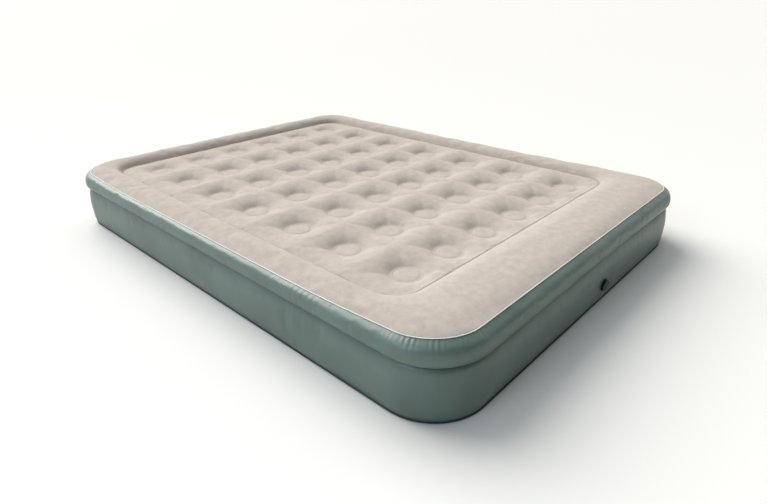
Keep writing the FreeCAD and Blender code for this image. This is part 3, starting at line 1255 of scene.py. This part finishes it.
@dataclass
class AirCoils:
    """The film tubes that tie the top sheet to the bottom sheet, a row at a time, and the web round them."""
    film: bpy.types.Material
    rim: Outline
    travel: float
    columns: int = 6
    rows: int = 7
    around: int = 36
    levels: int = 10
    web_gap: float = 0.11
    narrowing: float = 0.10
    pleat: float = 0.012

    def build(self) -> None:
        """Build every row of coils and the web."""
        for row in range(1, self.rows + 1):
            self.coil_row(row)
        self.web()

    def dress(self, piece: bpy.types.Object, node: str) -> None:
        """Make a piece stand for a node and ride on the base.

        Args:
            piece: The piece.
            node: The CAD node that it stands for.
        """
        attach(piece, "base")
        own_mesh(piece)
        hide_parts(node)

    def coil_row(self, row: int) -> bpy.types.Object:
        """Build one row of tubes, drawn in a little at the waist by the air outside them.

        Args:
            row: The row's number, from 1.

        Returns:
            The tubes.
        """
        node = f"coil_row_{row}"
        low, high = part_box(node)
        radius = (high[1] - low[1]) / 2
        y = (high[1] + low[1]) / 2
        pitch = (high[0] - low[0] - 2 * radius) / (self.columns - 1)
        points = []
        faces = []
        for column in range(self.columns):
            x = low[0] + radius + column * pitch
            base = len(points)
            for level in range(self.levels + 1):
                share = level / self.levels
                z = low[2] + (high[2] - low[2]) * share
                for step in range(self.around):
                    angle = 2 * math.pi * step / self.around
                    pleat = self.pleat * math.sin(9 * angle + row + column) * math.sin(math.pi * share)
                    reach = radius * (1 - self.narrowing * math.sin(math.pi * share) + pleat)
                    points.append([x + reach * math.cos(angle), y + reach * math.sin(angle), z])
            faces += quads(self.levels + 1, self.around, base)
        piece = new_piece(f"coils_{row}", points, faces, self.film)
        self.dress(piece, node)
        return piece

    def web(self) -> bpy.types.Object:
        """Build the four upright strips under the rim of the field.

        Returns:
            The strips.
        """
        below, wave_depth, waves, spacing = 4 * MM, 1.5 * MM, 7, 20 * MM
        low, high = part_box("border_web")
        top = high[2] - below
        gap = self.web_gap
        x, y_low, y_high = self.rim.x_half, self.rim.y_low, self.rim.y_high
        strips = [
            ((-x + gap, y_low), (x - gap, y_low)), ((x, y_low + gap), (x, y_high - gap)),
            ((x - gap, y_high), (-x + gap, y_high)), ((-x, y_high - gap), (-x, y_low + gap))]
        points = []
        faces = []
        for first, last in strips:
            start = np.array(first)
            end = np.array(last)
            length = float(np.linalg.norm(end - start))
            inward = np.array([-(end - start)[1], (end - start)[0]]) / length
            count = round(length / spacing)
            base = len(points)
            for level in range(self.levels + 1):
                share = level / self.levels
                for number in range(count + 1):
                    part = number / count
                    wave = wave_depth * math.sin(math.pi * share) * math.sin(2 * math.pi * part * waves)
                    spot = start + (end - start) * part + inward * (wave_depth + wave)
                    points.append([spot[0], spot[1], low[2] + (top - low[2]) * share])
            for level in range(self.levels):
                for number in range(count):
                    corner = base + level * (count + 1) + number
                    faces.append([corner, corner + 1, corner + count + 2, corner + count + 1])
        piece = new_piece("rim_web", points, faces, self.film)
        self.dress(piece, "border_web")
        return piece


@dataclass
class FootValve:
    """The foot valve: CAD pieces with their finishes, the weld patch, the strap and the cap's grip."""
    moulded: bpy.types.Material
    rubber: bpy.types.Material
    film: bpy.types.Material
    keep: float
    barrel: float = 18.2 * MM
    around: int = 64
    strap_width: float = 8 * MM
    strap_thickness: float = 1.1 * MM

    def build(self) -> None:
        """Finish the CAD pieces and build the loose ones."""
        finishes = {
            "valve_base": self.moulded, "base_seal": self.rubber,
            "valve_plug": self.moulded, "check_flap": self.rubber, "valve_cap": self.moulded}
        for node, finish in finishes.items():
            dress_node(node, finish)
        self.patch()
        self.strap()
        self.cap_grip()

    def turned(self, name: str, section: list, centre: np.ndarray,
               finish: bpy.types.Material) -> bpy.types.Object:
        """Turn a closed section into a ring about the valve's axis.

        Args:
            name: The piece's name.
            section: (radius, y) pairs.
            centre: A point on the axis.
            finish: The finish.

        Returns:
            The ring.
        """
        points = []
        for step in range(self.around):
            angle = 2 * math.pi * step / self.around
            for reach, y in section:
                points.append([centre[0] + reach * math.cos(angle), y, centre[2] + reach * math.sin(angle)])
        piece = new_piece(name, points, quads(self.around, len(section), loop=True, inward=True), finish)
        recalculate(piece)
        return piece

    def patch(self) -> bpy.types.Object:
        """Build the film ring that welds the valve to the wall.

        Returns:
            The ring.
        """
        low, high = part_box("valve_patch")
        middle = (low + high) / 2
        outer = (high[2] - low[2]) / 2
        section = [(self.barrel, low[1]), (outer, low[1]), (outer, high[1]), (self.barrel, high[1])]
        piece = self.turned("patch", section, middle, self.film)
        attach(piece, "base")
        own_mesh(piece)
        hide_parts("valve_patch")
        return piece

    def strap(self) -> bpy.types.Object:
        """Build the strap that loops from the plug's collar to the cap.

        Returns:
            The strap.
        """
        low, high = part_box("cap_strap")
        middle_z = (low[2] + high[2]) / 2
        inner, outer = low[0] - 1.0 * MM, high[0]
        back, front = high[1] - 0.5 * MM, low[1] + 0.6 * MM
        bend = (back - front) / 2
        line = [(inner, back), (outer - bend, back)]
        for step in range(1, 9):
            angle = math.pi / 2 - math.pi * step / 9
            line.append((outer - bend + bend * math.cos(angle), (back + front) / 2 + bend * math.sin(angle)))
        line += [(outer - bend, front), (inner - 1.0 * MM, front)]
        points = []
        half = self.strap_thickness / 2
        for number, (x, y) in enumerate(line):
            before = np.array(line[max(number - 1, 0)])
            after = np.array(line[min(number + 1, len(line) - 1)])
            along = (after - before) / np.linalg.norm(after - before)
            normal = np.array([-along[1], along[0]])
            for side, edge in ((1, 0.42), (1, -0.42), (0, -0.5), (-1, -0.42), (-1, 0.42), (0, 0.5)):
                spot = np.array([x, y]) + normal * half * side
                points.append([spot[0], spot[1], middle_z + edge * self.strap_width])
        ring = 6
        faces = quads(len(line), ring)
        faces.append(list(range(ring)))
        faces.append(list(range(len(points) - 1, len(points) - 1 - ring, -1)))
        piece = new_piece("strap", points, faces, self.moulded)
        recalculate(piece)
        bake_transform(piece)
        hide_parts("cap_strap")
        return piece

    def cap_grip(self) -> bpy.types.Object:
        """Build the raised grip ring moulded on the cap's face.

        Returns:
            The ring.
        """
        low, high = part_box("valve_cap")
        radius = (high[2] - low[2]) / 2
        centre = np.array([high[0] - radius, low[1], low[2] + radius])
        inner, width = radius * 0.80, 2.4 * MM
        steps = [(0.0, 0.15), (0.25, -0.45), (0.75, -0.45), (1.0, 0.15)]
        section = [(inner + share * width, low[1] + rise * MM) for share, rise in steps]
        piece = self.turned("cap_grip", section, centre, self.moulded)
        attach(piece, "cap")
        return piece


def recalculate(piece: bpy.types.Object) -> None:
    """Turn every face of a closed piece outward.

    Args:
        piece: The piece.
    """
    work = bmesh.new()
    work.from_mesh(piece.data)
    bmesh.ops.recalc_face_normals(work, faces=work.faces)
    work.to_mesh(piece.data)
    work.free()


def dress_node(node: str, finish: bpy.types.Material) -> None:
    """Give a CAD node its finish."""
    for holder in frame["nodes"][node].material_slots:
        holder.material = finish


@dataclass
class Studio:
    """Pale floor, soft lights and the camera."""
    azimuth: float = -46.77
    elevation: float = 26.21
    roll: float = -0.58
    distance: float = 1.5862
    target: tuple[float, float, float] = (-0.4353, -0.5333, 0.2034)
    lens: float = 25.10
    sensor: float = 36.0
    near: float = 0.02

    def build(self) -> None:
        """Make the floor, the lights and the camera."""
        self.floor()
        self.lights()
        self.camera()

    def floor(self) -> None:
        """Make a wide pale floor."""
        material, tree, output = new_material("studio_floor")
        shader = add_node(tree, "ShaderNodeBsdfPrincipled", inputs={
            "Base Color": linear("#D3D3D1"), "Roughness": 0.9, "Specular IOR Level": 0.1})
        tree.links.new(shader.outputs["BSDF"], output.inputs["Surface"])
        size, z = 90.0, -1.5 * MM
        corners = [(-size, -size, z), (size, -size, z), (size, size, z), (-size, size, z)]
        piece = new_piece("studio_floor", corners, [[0, 1, 2, 3]], material)

    def light(self, name: str, kind: Lamp, place: tuple, target: tuple, colour: str, settings: dict) -> None:
        """Make one soft light that faces a point.

        Args:
            name: The light's name.
            kind: An area light, or a sun for one that is very wide and far.
            place: Where it is.
            target: The point that it faces.
            colour: Its sRGB hex colour.
            settings: Its strength and size.
        """
        data = bpy.data.lights.new(name, kind.value)
        data.color = linear(colour)[:3]
        for setting, value in settings.items():
            setattr(data, setting, value)
        lamp = new_object(name, data)
        lamp.location = place
        lamp.rotation_euler = (Vector(target) - Vector(place)).to_track_quat("-Z", "Y").to_euler()

    def lights(self) -> None:
        """Make the key over the head end, a weak fill from the left, and a surround darker at the foot."""
        self.light("key", Lamp.SUN, (0.3, 3.9, 3.7), (0, 0, 0), "#FFFCF8",
                   {"angle": math.radians(50), "energy": 3.8})
        self.light("fill", Lamp.AREA, (-4.8, -0.6, 3.2), (0, 0, 0.1), "#DEE8FF", {"size": 2.4, "energy": 80})
        world = bpy.data.worlds.new("surround")
        bpy.context.scene.world = world
        world.use_nodes = True
        tree = world.node_tree
        tree.nodes.clear()
        place = add_node(tree, "ShaderNodeTexCoord")
        turned = add_node(tree, "ShaderNodeMapping", inputs={
            "Vector": place.outputs["Generated"], "Rotation": (0.0, 0.0, math.radians(-62)),
            "Location": (0.5, 0.0, 0.0), "Scale": (0.5, 0.5, 0.5)})
        slope = add_node(tree, "ShaderNodeTexGradient", inputs={"Vector": turned.outputs["Vector"]})
        ramp = add_node(tree, "ShaderNodeValToRGB", inputs={"Fac": slope.outputs["Fac"]})
        set_ramp(ramp, [(0.12, "#4A4F4D"), (0.45, "#B4B8B6"), (0.68, "#FFFFFD")])
        back = add_node(tree, "ShaderNodeBackground", inputs={
            "Color": ramp.outputs["Color"], "Strength": 1.1})
        output = add_node(tree, "ShaderNodeOutputWorld")
        tree.links.new(back.outputs["Background"], output.inputs["Surface"])

    def camera(self) -> None:
        """Make the camera."""
        data = bpy.data.cameras.new("camera")
        data.lens = self.lens
        data.sensor_width = self.sensor
        data.clip_start = self.near
        camera = new_object("camera", data)
        turn = Matrix.Rotation(math.radians(self.azimuth), 4, "Z")
        tilt = Matrix.Rotation(math.radians(90 - self.elevation), 4, "X")
        lean = Matrix.Rotation(math.radians(self.roll), 4, "Z")
        away = Matrix.Translation((0, 0, self.distance))
        camera.matrix_world = Matrix.Translation(self.target) @ turn @ tilt @ away @ lean
        bpy.context.scene.camera = camera
        bpy.context.scene.view_settings.view_transform = "Standard"


def main() -> None:
    """Build every sub-assembly in order."""
    logging.basicConfig(level=logging.INFO, format="%(message)s")
    Studio().build()
    flock = VelvetFlock().build()
    vinyl = SatinVinyl().build()
    # The ground sheet and its hem are real parts; their tone, darker than the walls, is painted shade along
    # the bottom edge.
    ground = SatinVinyl("ground_vinyl", "#3F4A49", "#38413F", 0.55, 3.0, 0.4).build()
    pale = SatinVinyl("pale_lip", "#C9C8C1", "#B6B6AF", 0.5).build()
    inner = SatinVinyl("inner_film", "#B9C2BF", "#AEB6B3", 0.35).build()
    moulded = MouldedPlastic().build()
    rubber = MouldedPlastic("seal_rubber", "#202020", 0.7, 0.5).build()
    travel = next(joint["range_m"][1] for joint in frame["joints"] if joint["name"] == "deflate")
    top = FlockedTop(flock)
    report(top.build())
    waist_low, waist_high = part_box("waist_weld")
    waist_z = (waist_low[2] + waist_high[2]) / 2
    crease, lip_width, tuck = 6 * MM, 9 * MM, 5 * MM
    waist_out = waist_high[0] - top.seam.x_half - crease
    keep = (top.seam_z - travel) / top.seam_z
    lip_z = top.seam_z - 1 * MM
    report(SideFilm("upper_band", "upper_side_band", top.seam, [
        (waist_out, waist_z), (waist_out + 12 * MM, waist_z + 4 * MM), (33 * MM, waist_z + 22 * MM),
        (25 * MM, lip_z - 16 * MM), (1 * MM, lip_z)], vinyl, 14, 6 * MM, keep, bowed=True,
        corner_spacing=2.8 * MM).build())
    report(SideFilm("lower_wall", "lower_side_wall", top.seam, [
        (24 * MM, 2 * MM), (30 * MM, 20 * MM), (32 * MM, 60 * MM), (31.5 * MM, 98 * MM),
        (waist_out + 10 * MM, waist_z - 10 * MM), (waist_out, waist_z)], vinyl, 16, 11 * MM, keep,
        dent_depth=2.2 * MM).build())
    report(Lip("seam_lip", "top_piping", Body.TOP, "seam_lip", top.seam, 3.8 * MM,
               top.seam_z - 1.6 * MM, top.seam_z + 0.6 * MM, pale, bowed=True).build())
    waist_outline = top.seam.grown(waist_out - lip_width)
    report(Lip("waist_lip", "waist_weld", Body.WAIST, "side_pvc", waist_outline, lip_width,
               waist_z - 0.8 * MM, waist_z + 0.8 * MM, vinyl).build())
    hem_low, hem_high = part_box("bottom_hem")
    sheet_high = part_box("bottom_sheet")[1]
    edge = top.seam.grown(sheet_high[0] - top.seam.x_half - tuck)
    report(GroundSheet(edge, ground).build())
    report(Lip("ground_hem", "bottom_hem", Body.BASE, "bottom_pvc", edge, hem_high[0] - sheet_high[0],
               hem_low[2], hem_high[2], ground).build())
    AirCoils(inner, top.rim, travel).build()
    for node in ("coil_bottom_discs", "coil_top_discs"):
        dress_node(node, inner)
    FootValve(moulded, rubber, inner, keep).build()


def report(piece: bpy.types.Object) -> None:
    """Log what a finished piece is made of."""
    LOG.info("built %s with %d faces", piece.name, len(piece.data.polygons))


if __name__ == "__main__":
    main()
